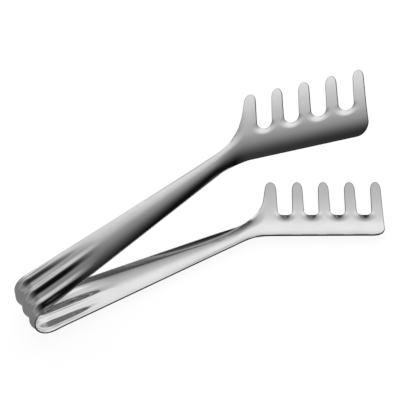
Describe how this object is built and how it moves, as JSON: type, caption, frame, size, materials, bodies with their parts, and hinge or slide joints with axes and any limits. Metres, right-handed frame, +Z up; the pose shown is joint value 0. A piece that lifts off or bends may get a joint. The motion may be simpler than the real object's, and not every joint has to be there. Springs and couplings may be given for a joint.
{
  "type": "spaghetti tongs",
  "caption": "Sprung one-piece steel tongs with comb ends for lifting spaghetti.",
  "frame": {"origin": "on the flat underside of the lower arm's handle, on its middle line, 80 mm ahead of the line where the bow begins", "axes": "+X along the handle from the bow to the combs, +Y to the tine tips, +Z up from the lower arm to the upper arm"},
  "size_m": [0.2411, 0.0687, 0.1124],
  "materials": {
    "steel": "polished stainless steel"
  },
  "bodies": {
    "lower_arm": {"lower_arm": "steel"},
    "spring_bow": {"spring_bow": "steel"},
    "upper_arm": {"upper_arm": "steel"}
  },
  "joints": [
    {"name": "bow_flex_1", "type": "hinge", "parent": "lower_arm", "child": "spring_bow", "pos_m": [-0.08463, 0, 0.00397], "axis": [0, 1, 0], "range_deg": [-2.4, 13.6], "stiffness_Nm_per_rad": 5, "springref_deg": -0.47},
    {"name": "bow_flex_2", "type": "hinge", "parent": "spring_bow", "child": "upper_arm", "pos_m": [-0.08829, 0, 0.02247], "axis": [0, 1, 0], "range_deg": [-2.4, 13.6], "stiffness_Nm_per_rad": 5, "springref_deg": -0.47}
  ],
  "couplings": [
    {"joint": "bow_flex_2", "follows": "bow_flex_1", "ratio": 1}
  ]
}
